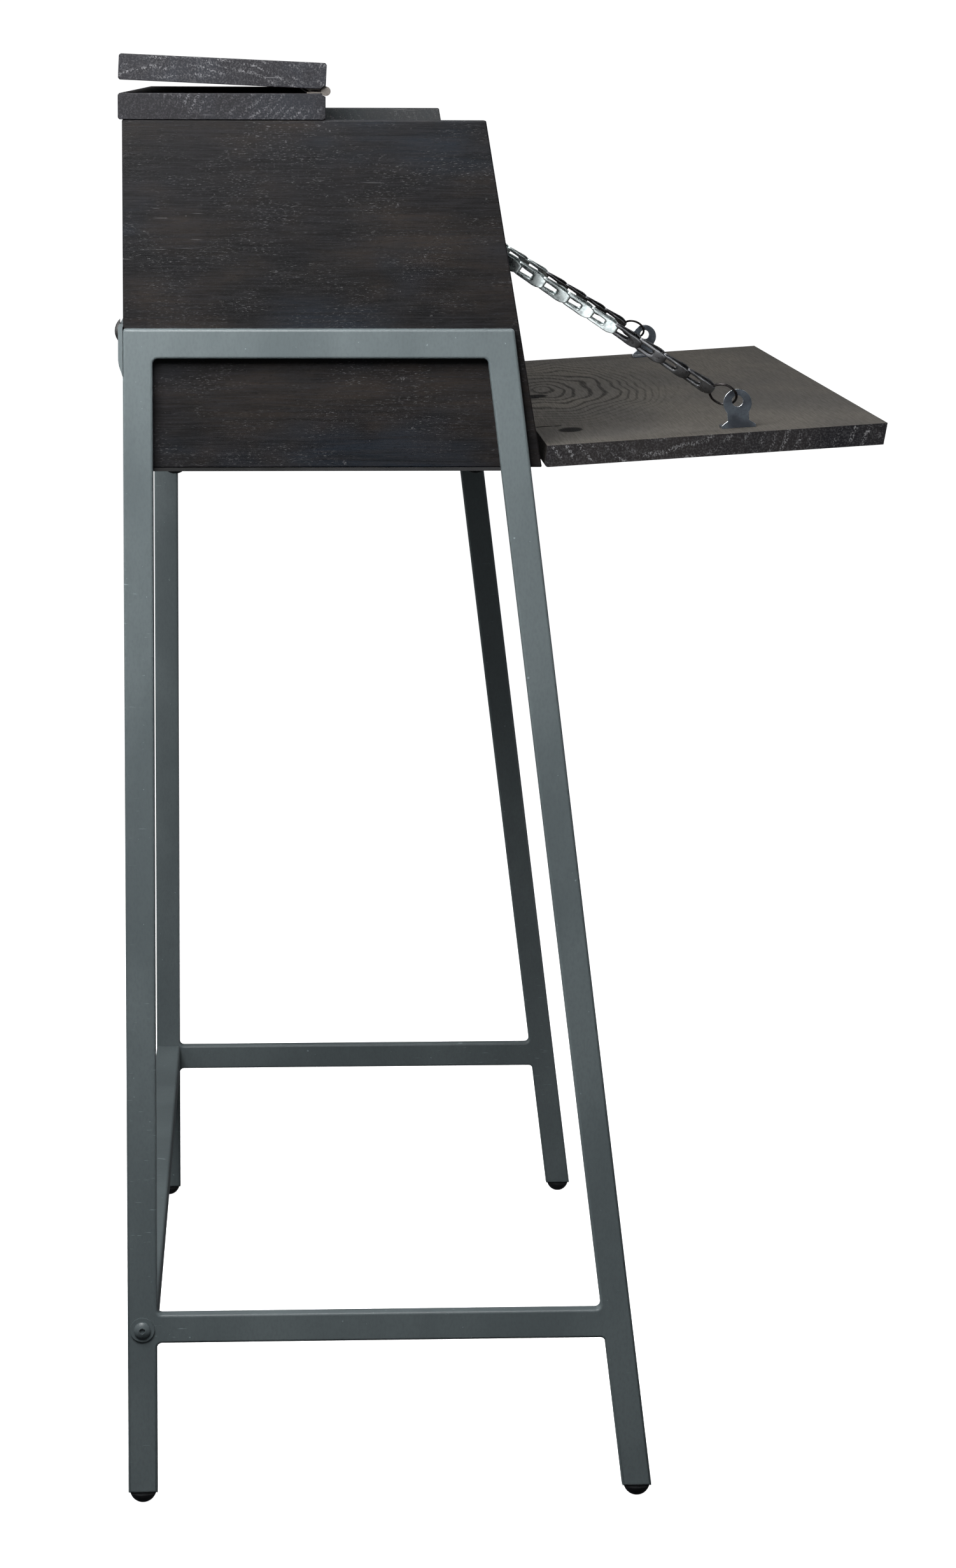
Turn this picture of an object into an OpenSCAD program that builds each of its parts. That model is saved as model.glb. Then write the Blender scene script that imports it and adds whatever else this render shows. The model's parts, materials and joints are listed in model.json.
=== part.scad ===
// Standing drafting desk: a stained wooden case on a welded steel tube frame, with a top lid that
// folds back on itself and a front leaf held level by two chains.
// Side outlines are drawn with "a" measured forward from the rear face of the rear legs and z upwards.

/* [Frame] */
// Overall width over the two side frames
frame_w = 974; // [700:1:1200]
// Height of the top of the side frames
frame_h = 1022; // [1000:0.5:1040]
// Tube width seen from the side
tube_w = 25.4; // [20:0.1:30]
// Tube depth across the desk
tube_d = 12.7; // [10:0.1:20]
// Tube wall
tube_wall = 1.5; // [1:0.1:3]
// Outer corner radius of the tubes
tube_r = 2.5; // [1.6:0.1:4]
// Lean of the front legs
leg_lean = 7.02; // [5:0.1:8]
// Forward reach of the front leg's outer edge at the top of the frame
front_leg_a = 331.5; // [325:0.5:340]
// Height of the underside of the lower stretchers
stretcher_z = 142; // [100:1:200]
// Thickness of the upper rear bar
rear_bar_t = 3.8; // [3:0.1:5]
// Height of the upper rear bar
rear_bar_h = 28; // [24:1:36]

/* [Case] */
// Height of the underside of the case
case_z = 903; // [900:0.5:908]
// Height of the top edge of the side panels
case_top_z = 1198; // [1190:0.5:1205]
// Depth of the case at its underside
case_depth = 356.3; // [350:0.5:362]
// Depth of the side panels at their top edge
case_top_depth = 307.4; // [300:0.5:312]
// Thickness of the side, back and bottom panels
panel_t = 19; // [16:0.5:20]

/* [Top boards] */
// Thickness of the fixed top board
board_t = 22.4; // [20:0.1:24]
// Thickness of the lid
lid_t = 22.1; // [20:0.1:24]
// Overhang of the fixed board past the back of the case
board_back = 3.4; // [2:0.1:6]
// Forward reach of the fixed board
board_front = 171.6; // [168:0.1:175]
// Length of the lid from the hinge to its free edge
lid_len = 175; // [165:0.5:178]
// Overhang of both boards past each side panel
board_end = 1.5; // [0:0.5:5]
// Angle that the folded lid stands open from the fixed board
lid_gap_angle = 2.5; // [2:0.1:4]
// Gap between the folded boards at the hinge
lid_gap = 3.5; // [3.2:0.1:5]

/* [Leaf] */
// Length of the leaf
leaf_len = 293; // [270:0.5:294]
// Thickness of the leaf
leaf_t = 18.4; // [17:0.1:20]
// Rise of the open leaf towards its free edge
leaf_tilt = 3.78; // [3:0.01:4.5]

/* [Chains] */
// Distance from the chain to the outer face of the side frame
chain_inset = 57; // [56:0.5:62]
// Spacing of the link pivots
link_pitch = 24.7; // [22:0.1:26]
// Width of a link
link_w = 12.6; // [12.2:0.1:14]
// Thickness of a link plate
link_t = 2.2; // [1.5:0.1:2.3]
// Diameter of the jump ring through its wire's centre line
ring_d = 23.7; // [22:0.1:25]
// Wire radius of the jump ring
ring_wire_r = 1.1; // [0.9:0.1:1.2]
// Lean of the jump ring's plane about the chain
ring_lean = 43; // [35:1:50]

/* [Feet] */
// Radius of the glide's foot
glide_r = 11.5; // [9:0.1:12.6]
// Height of the glide's foot
glide_h = 8.6; // [6:0.1:12]

/* [Hidden] */
$fn = 48;
side_x = frame_w / 2;
panel_x = side_x - tube_d;
inner_x = panel_x - panel_t;
chain_x = side_x - chain_inset;
slope_angle = atan((case_depth - case_top_depth) / (case_top_z - case_z));
board_z = case_top_z + board_t;
board_x = panel_x + board_end;

// Leaf pivot: half way through the leaf's thickness, where the end of the leaf turns on itself
pivot_a = 366.4;
pivot_z = 911.95;
leaf_corner_a = 360.8;
leaf_corner_z = 921.4;
leaf_bevel = 11.4;
leaf_tip_bevel = 14;
leaf_corner_r = 3;
hinge_pin_r = 2;
hinge_arm_t = 5;
hinge_arm_xs = [-300, 0, 300];
hinge_slot_w = hinge_arm_t + 1;
hinge_slot_reach = 20;
hinge_eye_r = 4.4;
hinge_pin_half = 22;
hinge_foot_a = 304;
hinge_foot_len = 44;
hinge_foot_w = 22;
hinge_foot_t = 2.4;
hinge_arm_h = 6;
hinge_slot_clear = 0.6;

// Lid hinge
lid_axis_ahead = 0.3;
lid_axis_a = board_front + lid_axis_ahead;
lid_axis_z = board_z + lid_gap / 2;
barrel_r = 4;
barrel_relief_r = barrel_r + 0.4;
lid_pin_r = 1.2;
plate_t = 1.2;
plate_w = 16;
knuckles = 33;
hinge_x = panel_x - 4;
knuckle_len = 2 * hinge_x / knuckles;
knuckle_gap = 0.3;
plate_gap = 0.4;
hinge_screws = 9;
hinge_screw_inset = 20;
hinge_screw_len = 12;
hinge_screw_back = 10.5;

// Chain: the pivot in the leaf's tab, the link pivots, and the pin that rests in the hook
tab_a = 526.9;
tab_z = 956.8;
first_link_a = 505.4;
first_link_z = 966.7;
chain_angle = 147.94;
links_lower = 4;
links_upper = 6;
link_count = links_lower + 1 + links_upper;
layer_gap = 0.4;
eye_r = 4.8;
wire_offset = 1.9;
rivet_r = 1.5;
hook_notch_angle = 130.5;
hook_r = 9;
hook_plate_t = 2.4;
hook_plate_x = inner_x - 14;
hook_pin_end = inner_x - 9;
hook_foot_back = 24;
hook_foot_len = 30;
hook_foot_w = 24;
hook_web_t = 2.6;
hook_web_w = 14;
hook_mouth = 12;
hook_mouth_w = 9.2;
hook_screw_back = 18;
hook_screw_side = 6.5;
hook_clear = 0.4;

// Fasteners
m8_r = 4;
m8_head_r = 7;
m8_head_h = 4.2;
m8_washer_r = 10.5;
m6_r = 3;
m6_head_h = 3.4;
m6_grip = 14;
m6_washer_r = 9.3;
washer_t = 1.6;
screw_head_h = 1.3;
screw_head_over = 1.3;
screw_proud = 0.4;
plug_len = 12;
dome_r = 10.5;
dome_h = 4.6;
strap_t = 3;
strap_w = 40;
strap_bolts_a = [43, 301];
strap_bolt_x = panel_x - 30;
rear_bolt_xs = [-panel_x + 40, 0, panel_x - 40];
rear_bolt_z = frame_h - 5;
rear_bolt_grip = panel_t - 4;
rear_bar_rise = 1.5;
weld_drop = 14;
glide_gap = 0.3;
glide_flat_r = 4.5;
glide_stem_r = 3;
glide_stem_h = 32;
insert_h = 22;
fit = 0.05;
cut = 1;

// The origin is the middle of the overall depth, which runs from the rear bolts to the leaf's tip
front_reach = leaf_corner_a + leaf_len * cos(leaf_tilt);
rear_reach = rear_bar_t + dome_h;
rear_y = (front_reach - rear_reach) / 2;

wood = [0.16, 0.14, 0.14];
leaf_wood = [0.27, 0.25, 0.22];
paint = [0.45, 0.51, 0.53];
black_steel = [0.06, 0.06, 0.06];
zinc = [0.55, 0.57, 0.58];
gunmetal = [0.25, 0.26, 0.28];
plastic = [0.05, 0.05, 0.05];

// ---- Placing helpers ----

// Extrudes a side outline across the desk from x0 to x1
module across(x0, x1) {
    translate([x1, rear_y, 0]) rotate([90, 0, -90]) linear_extrude(x1 - x0) children();
}

// A round rod across the desk
module rod(x0, x1, a, z, r) {
    across(x0, x1) translate([a, z]) circle(r);
}

// Builds on the left, or on the right as its mirror image
module on_side(right) {
    if (right) mirror([1, 0, 0]) children();
    else children();
}

// A rectangle with round corners, centred
module round_rect(w, d, r) {
    square([w - 2 * r, d], center = true);
    square([w, d - 2 * r], center = true);
    for (sx = [-1, 1], sy = [-1, 1])
        translate([sx * (w / 2 - r), sy * (d / 2 - r)]) circle(r, $fn = 32);
}

// Section of a tube, across the desk and then forward
module tube_section(across_d, forward_w) {
    difference() {
        round_rect(across_d, forward_w, tube_r);
        round_rect(across_d - 2 * tube_wall, forward_w - 2 * tube_wall, tube_r - tube_wall);
    }
}

// Forward reach of the front leg's outer edge at height z
function leg_edge(z) = front_leg_a + (frame_h - z) * tan(leg_lean);

// Forward reach of the front leg's middle at height z
function leg_middle(z) = leg_edge(z) - tube_w / 2 / cos(leg_lean);

// Forward reach of the case's front edge at height z
function case_edge(z) = case_depth - (z - case_z) * tan(slope_angle);

// ---- Frame ----

module rear_leg(right) {
    color(paint) on_side(right) difference() {
        translate([-side_x + tube_d / 2, rear_y - tube_w / 2, glide_h])
            linear_extrude(frame_h - tube_w - glide_h) tube_section(tube_d, tube_w);
        rod(-side_x - 1, -panel_x + 1, tube_w / 2, stretcher_z + tube_w / 2, m8_r);
    }
}

module front_leg(right) {
    lean_len = (frame_h - glide_h) / cos(leg_lean);
    color(paint) on_side(right) intersection() {
        translate([-side_x + tube_d / 2, rear_y - leg_middle(frame_h), frame_h])
            rotate([-leg_lean, 0, 0])
                translate([0, 0, -lean_len - tube_w])
                    linear_extrude(lean_len + 2 * tube_w) tube_section(tube_d, tube_w);
        across(-side_x - 1, -side_x + tube_d + 1) polygon([
            [leg_edge(frame_h) - 2 * tube_w, frame_h - tube_w],
            [leg_edge(frame_h) + tube_w, frame_h - tube_w],
            [leg_edge(glide_h) + tube_w, glide_h],
            [leg_edge(glide_h) - 2 * tube_w, glide_h]]);
    }
}

// Runs from the rear leg's face to the front leg's sloping edge, and closes both tubes
module top_bar(right) {
    rise = frame_h - tube_w;
    color(paint) on_side(right) {
        intersection() {
            translate([-side_x + tube_d / 2, rear_y, frame_h - tube_w / 2])
                rotate([90, 0, 0]) linear_extrude(leg_edge(rise)) tube_section(tube_d, tube_w);
            across(-side_x - 1, -side_x + tube_d + 1)
                polygon([[0, rise], [leg_edge(rise), rise], [leg_edge(frame_h), frame_h], [0, frame_h]]);
        }
        // end plates
        across(-side_x + tube_wall, -side_x + tube_d - tube_wall) {
            translate([0, rise + tube_wall]) square([tube_wall, tube_w - 2 * tube_wall]);
            polygon([[leg_edge(rise + tube_wall), rise + tube_wall],
                [leg_edge(frame_h - tube_wall), frame_h - tube_wall],
                [leg_edge(frame_h - tube_wall) - tube_wall, frame_h - tube_wall],
                [leg_edge(rise + tube_wall) - tube_wall, rise + tube_wall]]);
        }
    }
}

module stretcher(right) {
    top_z = stretcher_z + tube_w;
    color(paint) on_side(right) intersection() {
        translate([-side_x + tube_d / 2, rear_y - tube_w, stretcher_z + tube_w / 2])
            rotate([90, 0, 0]) linear_extrude(leg_edge(stretcher_z)) tube_section(tube_d, tube_w);
        across(-side_x - 1, -side_x + tube_d + 1) polygon([
            [tube_w, stretcher_z],
            [leg_edge(stretcher_z) - tube_w / cos(leg_lean), stretcher_z],
            [leg_edge(top_z) - tube_w / cos(leg_lean), top_z],
            [tube_w, top_z]]);
    }
}

module rear_lower_crossbar() {
    color(paint) translate([-panel_x, rear_y - tube_w / 2, stretcher_z + tube_w / 2])
        rotate([90, 0, 90]) linear_extrude(2 * panel_x) tube_section(tube_w, tube_w);
}

module crossbar_end_plugs() {
    inner = tube_w - 2 * tube_wall;
    color(zinc) for (right = [false, true]) on_side(right)
        across(-panel_x, -panel_x + plug_len) translate([tube_w / 2, stretcher_z + tube_w / 2])
            difference() {
                round_rect(inner, inner, tube_r - tube_wall);
                circle(m8_r);
            }
}

// A flat bar behind the case, with a ramped weld where each end meets its rear leg
module rear_upper_bar() {
    low_z = frame_h - rear_bar_h + rear_bar_rise;
    color(paint) difference() {
        union() {
            across(-side_x, side_x) translate([-rear_bar_t, low_z]) square([rear_bar_t, rear_bar_h]);
            for (right = [false, true]) on_side(right)
                across(-side_x, -side_x + tube_d)
                    polygon([[0, low_z], [-rear_bar_t, low_z],
                        [-rear_bar_t * 0.8, low_z - weld_drop * 0.36],
                        [-rear_bar_t * 0.35, low_z - weld_drop * 0.71], [0, low_z - weld_drop]]);
        }
        for (x = rear_bolt_xs) translate([x, rear_y, rear_bolt_z]) rotate([90, 0, 0])
            cylinder(r = m8_r, h = 20, center = true);
    }
}

// Flat bar under the case, welded to the inner faces of both legs of a side
module case_strap(right) {
    color(black_steel) on_side(right) difference() {
        across(-panel_x, -panel_x + strap_w)
            translate([2, case_z - strap_t]) square([leg_edge(case_z) - 4, strap_t]);
        for (a = strap_bolts_a) translate([-strap_bolt_x, rear_y - a, case_z])
            cylinder(r = m6_r, h = 20, center = true);
    }
}

// A button head with a hexagon socket on a plain shank, pointing along +Z with its seat at z = 0
module button_bolt(r, head_r, head_h, shank) {
    crown_r = head_r * 1.6;
    difference() {
        union() {
            rotate_extrude() intersection() {
                translate([0, head_h - crown_r]) circle(crown_r, $fn = 96);
                square([head_r, head_h]);
            }
            translate([0, 0, -shank]) cylinder(r = r, h = shank + head_h / 4);
        }
        translate([0, 0, head_h * 0.45]) cylinder(r = head_r * 0.4, h = head_h, $fn = 6);
    }
}

// A plain domed head on a shank, placed like the button bolt
module carriage_bolt(r, head_r, head_h, shank) {
    sphere_r = (head_r * head_r + head_h * head_h) / 2 / head_h;
    rotate_extrude() intersection() {
        translate([0, head_h - sphere_r]) circle(sphere_r, $fn = 128);
        square([head_r, head_h]);
    }
    translate([0, 0, -shank]) cylinder(r = r, h = shank + head_h / 2);
}

// A countersunk wood screw pointing down, with its head's top just above z = 0
module wood_screw(r, len) {
    translate([0, 0, -len]) cylinder(r = r, h = len);
    translate([0, 0, screw_proud - screw_head_h]) cylinder(r = r + screw_head_over, h = screw_head_h);
}

module washer(inner_r, outer_r) {
    linear_extrude(washer_t) difference() {
        circle(outer_r);
        circle(inner_r);
    }
}

module at_crossbar_bolts() {
    for (right = [false, true]) on_side(right)
        translate([-side_x, rear_y - tube_w / 2, stretcher_z + tube_w / 2]) rotate([0, -90, 0]) children();
}

module crossbar_bolts() {
    color(zinc) at_crossbar_bolts()
        translate([0, 0, washer_t]) button_bolt(m8_r, m8_head_r, m8_head_h, washer_t + tube_d + plug_len - 1);
}

module crossbar_washers() {
    color(zinc) at_crossbar_bolts() washer(m8_r, m8_washer_r);
}

module rear_bar_bolts() {
    color(black_steel) for (x = rear_bolt_xs)
        translate([x, rear_y + rear_bar_t, rear_bolt_z]) rotate([-90, 0, 0])
            carriage_bolt(m8_r, dome_r, dome_h, rear_bar_t + rear_bolt_grip);
}

module at_case_bolts() {
    for (right = [false, true], a = strap_bolts_a) on_side(right)
        translate([-strap_bolt_x, rear_y - a, case_z - strap_t]) rotate([180, 0, 0]) children();
}

module case_bolts() {
    color(black_steel) at_case_bolts()
        translate([0, 0, washer_t]) button_bolt(m6_r, m8_head_r, m6_head_h, strap_t + washer_t + m6_grip);
}

module case_washers() {
    color(black_steel) at_case_bolts() washer(m6_r, m6_washer_r);
}

// ---- Feet ----

function foot_a(front) = front ? leg_middle(glide_h) : tube_w / 2;

module at_foot(right, front) {
    on_side(right) translate([-side_x + tube_d / 2, rear_y - foot_a(front), 0]) children();
}

// A plug in the bottom of each leg, threaded for the glide's stem
module leg_inserts() {
    in_d = tube_d - 2 * tube_wall;
    in_w = tube_w - 2 * tube_wall;
    color(plastic) for (right = [false, true]) {
        at_foot(right, false) difference() {
            translate([0, 0, glide_h]) linear_extrude(insert_h) round_rect(in_d, in_w, tube_r - tube_wall);
            cylinder(r = glide_stem_r + fit, h = glide_h + insert_h + cut);
        }
        at_foot(right, true) difference() {
            intersection() {
                translate([0, 0, glide_h]) rotate([-leg_lean, 0, 0]) translate([0, 0, -insert_h])
                    linear_extrude(3 * insert_h) round_rect(in_d, in_w, tube_r - tube_wall);
                translate([-in_w, -2 * in_w, glide_h]) cube([2 * in_w, 4 * in_w, insert_h]);
            }
            cylinder(r = glide_stem_r + fit, h = glide_h + insert_h + cut);
        }
    }
}

// A domed foot with a small flat underneath, on a threaded stem
module glide(right, front) {
    top = glide_h - glide_gap;
    centre = (glide_r * glide_r + top * top - glide_flat_r * glide_flat_r) / 2 / top;
    dome = sqrt(centre * centre + glide_flat_r * glide_flat_r);
    color(zinc) at_foot(right, front) {
        rotate_extrude() intersection() {
            translate([0, centre]) circle(dome, $fn = 96);
            square([glide_r, top]);
        }
        translate([0, 0, top - cut]) cylinder(r = glide_stem_r, h = glide_stem_h);
    }
}

// ---- Case ----

module side_panel(right) {
    color(wood) on_side(right) across(-panel_x, -inner_x)
        polygon([[0, case_z], [case_depth, case_z], [case_top_depth, case_top_z], [0, case_top_z]]);
}

module back_panel() {
    color(wood) difference() {
        across(-inner_x, inner_x) translate([0, case_z]) square([panel_t, case_top_z - case_z]);
        for (x = rear_bolt_xs) translate([x, rear_y + cut, rear_bolt_z]) rotate([90, 0, 0])
            cylinder(r = m8_r, h = rear_bolt_grip + cut);
    }
}

module bottom_panel() {
    color(wood) difference() {
        across(-inner_x, inner_x)
            polygon([[panel_t, case_z], [case_depth, case_z],
                [case_edge(case_z + panel_t), case_z + panel_t], [panel_t, case_z + panel_t]]);
        for (right = [false, true], a = strap_bolts_a) on_side(right)
            translate([-strap_bolt_x, rear_y - a, case_z - cut]) cylinder(r = m6_r, h = m6_grip + cut);
    }
}

// A board's side outline with eased corners, a hinge relief at its front and its length rearward
module board_outline(len, thick) {
    ease = 1.5;
    polygon([[-len + ease, 0], [-ease, 0], [0, ease], [0, thick], [-len + ease, thick],
        [-len, thick - ease], [-len, ease]]);
}

module fixed_top_board() {
    color(wood) across(-board_x, board_x) difference() {
        translate([board_front, case_top_z]) board_outline(board_front + board_back, board_t);
        translate([lid_axis_a, lid_axis_z]) circle(barrel_relief_r);
    }
}

// The lid's own outline is drawn folded back, with its upper working face turned down
module in_lid() {
    translate([lid_axis_a, lid_axis_z]) rotate(-lid_gap_angle) children();
}

module lid_board() {
    color(wood) across(-board_x, board_x) in_lid() difference() {
        translate([-lid_axis_ahead, lid_gap / 2 + lid_t]) mirror([0, 1]) board_outline(lid_len, lid_t);
        circle(barrel_relief_r);
    }
}

// ---- Lid hinge ----

// Knuckles of one half of the piano hinge: the fixed half has the odd ones
module lid_knuckles(moving) {
    for (i = [(moving ? 1 : 0) : 2 : knuckles - 1]) {
        x0 = -hinge_x + i * knuckle_len + knuckle_gap / 2;
        across(x0, x0 + knuckle_len - knuckle_gap) difference() {
            union() {
                translate([lid_axis_a, lid_axis_z]) circle(barrel_r);
                if (moving) in_lid() knuckle_root(1);
                else translate([lid_axis_a, lid_axis_z]) knuckle_root(-1);
            }
            translate([lid_axis_a, lid_axis_z]) circle(moving ? lid_pin_r + fit : lid_pin_r);
        }
    }
}

// The strip that joins a knuckle to its plate, above or below the axis
module knuckle_root(up) {
    low = up > 0 ? lid_gap / 2 - plate_t : -lid_gap / 2;
    translate([-barrel_relief_r - 1, low]) square([barrel_relief_r - 1, plate_t]);
}

module hinge_plate(low) {
    translate([-plate_w, low]) square([plate_w - barrel_relief_r - plate_gap, plate_t]);
}

module lid_hinge_fixed_plate() {
    color(zinc) {
        across(-hinge_x, hinge_x) translate([lid_axis_a, lid_axis_z]) hinge_plate(-lid_gap / 2);
        lid_knuckles(false);
    }
}

module lid_hinge_moving_plate() {
    color(zinc) {
        across(-hinge_x, hinge_x) in_lid() hinge_plate(lid_gap / 2 - plate_t);
        lid_knuckles(true);
    }
}

module lid_hinge_pin() {
    color(zinc) rod(-hinge_x, hinge_x, lid_axis_a, lid_axis_z, lid_pin_r);
}

function screw_x(i, count, reach) = -reach + 2 * reach * i / (count - 1);

module lid_hinge_fixed_screws() {
    color(zinc) for (i = [0 : hinge_screws - 1])
        translate([screw_x(i, hinge_screws, hinge_x - hinge_screw_inset),
            rear_y - lid_axis_a + hinge_screw_back, lid_axis_z - lid_gap / 2 + plate_t])
            wood_screw(1.4, hinge_screw_len);
}

module lid_hinge_moving_screws() {
    color(zinc) for (i = [0 : hinge_screws - 1])
        translate([screw_x(i, hinge_screws, hinge_x - hinge_screw_inset), rear_y - lid_axis_a, lid_axis_z])
            rotate([lid_gap_angle, 0, 0])
                translate([0, hinge_screw_back, lid_gap / 2 - plate_t]) rotate([180, 0, 0])
                    wood_screw(1.4, hinge_screw_len);
}

// ---- Leaf ----

// Works in the leaf's own plane: u forward along its top face from the hinge side, v upwards
module in_leaf() {
    translate([leaf_corner_a, leaf_corner_z]) rotate(leaf_tilt) children();
}

pivot_u = (pivot_a - leaf_corner_a) * cos(leaf_tilt) + (pivot_z - leaf_corner_z) * sin(leaf_tilt);
pivot_v = (pivot_z - leaf_corner_z) * cos(leaf_tilt) - (pivot_a - leaf_corner_a) * sin(leaf_tilt);

module leaf_outline() {
    heel = leaf_t * tan(leaf_bevel);
    tip = leaf_t * tan(leaf_tip_bevel);
    difference() {
        polygon([[0, 0], [leaf_len, 0], [leaf_len - tip, -leaf_t], [-heel, -leaf_t]]);
        // the lower corner at the hinge is rounded so that it turns past the case
        translate([-heel, -leaf_t]) difference() {
            translate([-1, -1]) square(leaf_corner_r + 1);
            translate([leaf_corner_r + 0.5, leaf_corner_r]) circle(leaf_corner_r);
            translate([leaf_corner_r + 0.5, -2]) square(20);
            translate([0, leaf_corner_r]) square(20);
        }
    }
}

module leaf_board() {
    color(leaf_wood) difference() {
        across(-panel_x, panel_x) in_leaf() leaf_outline();
        for (x = hinge_arm_xs) {
            across(x - hinge_slot_w / 2, x + hinge_slot_w / 2) in_leaf()
                translate([-leaf_t, pivot_v - hinge_eye_r - hinge_slot_clear])
                    square([leaf_t + pivot_u + hinge_slot_reach, 2 * leaf_t]);
            rod(x - hinge_pin_half, x + hinge_pin_half, pivot_a, pivot_z, hinge_pin_r);
        }
    }
}

// Each arm is screwed down inside the case, reaches over its front edge and ends in an eye in the leaf
module leaf_hinge_arms() {
    floor_z = case_z + panel_t;
    edge_a = case_edge(floor_z);
    neck = 3.4;
    color(gunmetal) for (x = hinge_arm_xs) {
        across(x - hinge_foot_w / 2, x + hinge_foot_w / 2)
            translate([hinge_foot_a, floor_z]) square([hinge_foot_len, hinge_foot_t]);
        across(x - hinge_arm_t / 2, x + hinge_arm_t / 2) difference() {
            union() {
                translate([hinge_foot_a, floor_z])
                    square([edge_a - hinge_foot_a, hinge_arm_h]);
                polygon([[edge_a, floor_z], [edge_a - 3, floor_z + hinge_arm_h],
                    [edge_a + 2, floor_z + hinge_arm_h], [pivot_a + neck, pivot_z + neck],
                    [pivot_a - neck, pivot_z - neck / 2]]);
                translate([pivot_a, pivot_z]) circle(hinge_eye_r);
            }
            translate([pivot_a, pivot_z]) circle(hinge_pin_r + fit);
        }
    }
}

module leaf_hinge_pins() {
    color(zinc) for (x = hinge_arm_xs)
        rod(x - hinge_pin_half, x + hinge_pin_half, pivot_a, pivot_z, hinge_pin_r);
}

module leaf_hinge_screws() {
    inset = 7;
    color(zinc) for (x = hinge_arm_xs, side = [-1, 1],
            a = [hinge_foot_a + inset, hinge_foot_a + hinge_foot_len - inset])
        translate([x + side * inset, rear_y - a, case_z + panel_t + hinge_foot_t])
            wood_screw(1.5, 14);
}

// ---- Chain fittings ----

// Direction along the chain from the leaf to the case
function along(d) = [d * cos(chain_angle), d * sin(chain_angle)];

// Centre of the hole in the leaf's tab, just forward of the ring's wire
ring_angle = atan2(first_link_z - tab_z, first_link_a - tab_a);
hole_a = tab_a - wire_offset * cos(ring_angle);
hole_z = tab_z - wire_offset * sin(ring_angle);
hole_u = (hole_a - leaf_corner_a) * cos(leaf_tilt) + (hole_z - leaf_corner_z) * sin(leaf_tilt);
hole_v = (hole_z - leaf_corner_z) * cos(leaf_tilt) - (hole_a - leaf_corner_a) * sin(leaf_tilt);
tab_head_r = 12.4;
tab_plate_t = 2.2;
tab_foot_w = 30;
tab_foot_h = 2.6;
tab_neck = 9.4;
tab_flare_v = 6.5;
tab_foot_reach = 17;
tab_screw_x = 9.5;
tab_screw_u = 9;

// Keyhole-shaped plate that flares to a foot, in the leaf's plane
module tab_outline() {
    half = tab_foot_w / 2;
    neck_top = hole_v - tab_head_r / 2;
    difference() {
        union() {
            translate([hole_u, hole_v - 2]) circle(tab_head_r);
            translate([hole_u, 0]) polygon([[-half, 0], [half, 0], [half, tab_foot_h],
                [tab_neck, tab_flare_v], [tab_neck, neck_top], [-tab_neck, neck_top],
                [-tab_neck, tab_flare_v], [-half, tab_foot_h]]);
        }
        translate([hole_u, hole_v]) circle(eye_r);
    }
}

module leaf_tab(right) {
    color(gunmetal) on_side(right) {
        across(-chain_x - tab_plate_t / 2, -chain_x + tab_plate_t / 2) in_leaf() tab_outline();
        across(-chain_x - tab_plate_t / 2, -chain_x + tab_foot_reach)
            in_leaf() translate([hole_u - tab_foot_w / 2, 0]) square([tab_foot_w, tab_plate_t]);
    }
}

module leaf_tab_screws() {
    color(zinc) for (right = [false, true], du = [-tab_screw_u, tab_screw_u]) on_side(right)
        translate([-chain_x + tab_screw_x, rear_y - leaf_corner_a, leaf_corner_z]) rotate([-leaf_tilt, 0, 0])
            translate([0, -hole_u - du, tab_plate_t]) wood_screw(1.6, 13);
}

// Where the chain's last pin rests: the end of the upper run
hook_a = first_link_a + along(link_count * link_pitch)[0];
hook_z = first_link_z + along(link_count * link_pitch)[1];

// A cranked bracket on the side panel, with a notch open up and to the rear
module case_hook(right) {
    plate = -hook_plate_x - hook_plate_t / 2;
    notch_r = rivet_r + hook_clear;
    color(gunmetal) on_side(right) {
        across(-inner_x, -inner_x + hook_plate_t) at_hook()
            translate([-hook_foot_back, -hook_foot_w / 2]) square([hook_foot_len, hook_foot_w]);
        across(-inner_x, plate + hook_plate_t) at_hook()
            translate([0.5 - hook_r, -hook_web_w / 2]) square([hook_web_t, hook_web_w]);
        across(plate, plate + hook_plate_t) at_hook() difference() {
            intersection() {
                circle(hook_r);
                translate([-hook_r, -hook_r]) square([hook_r + 5, 2 * hook_r]);
            }
            circle(notch_r);
            polygon([[0, -notch_r], [0, notch_r], [hook_mouth, hook_mouth_w / 2],
                [hook_mouth, -hook_mouth_w / 2]]);
        }
    }
}

// Works at the hook's pin, with the notch opening along the first axis
module at_hook() {
    translate([hook_a, hook_z]) rotate(hook_notch_angle) children();
}

module case_hook_screws() {
    color(zinc) for (right = [false, true], side = [-hook_screw_side, hook_screw_side]) on_side(right)
        translate([-inner_x, rear_y - hook_a, hook_z]) rotate([-hook_notch_angle, 0, 0])
            translate([hook_plate_t, hook_screw_back, side]) rotate([0, 90, 0]) wood_screw(1.6, 13);
}

// ---- Chains ----

module ring(right) {
    mid_a = (tab_a + first_link_a) / 2;
    mid_z = (tab_z + first_link_z) / 2;
    x = right ? chain_x : -chain_x;
    color(gunmetal) translate([x, rear_y - mid_a, mid_z])
        rotate([-ring_angle, 0, 0]) rotate([0, ring_lean - 90, 0])
            rotate_extrude($fn = 72) translate([ring_d / 2, 0]) circle(ring_wire_r, $fn = 24);
}

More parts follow.
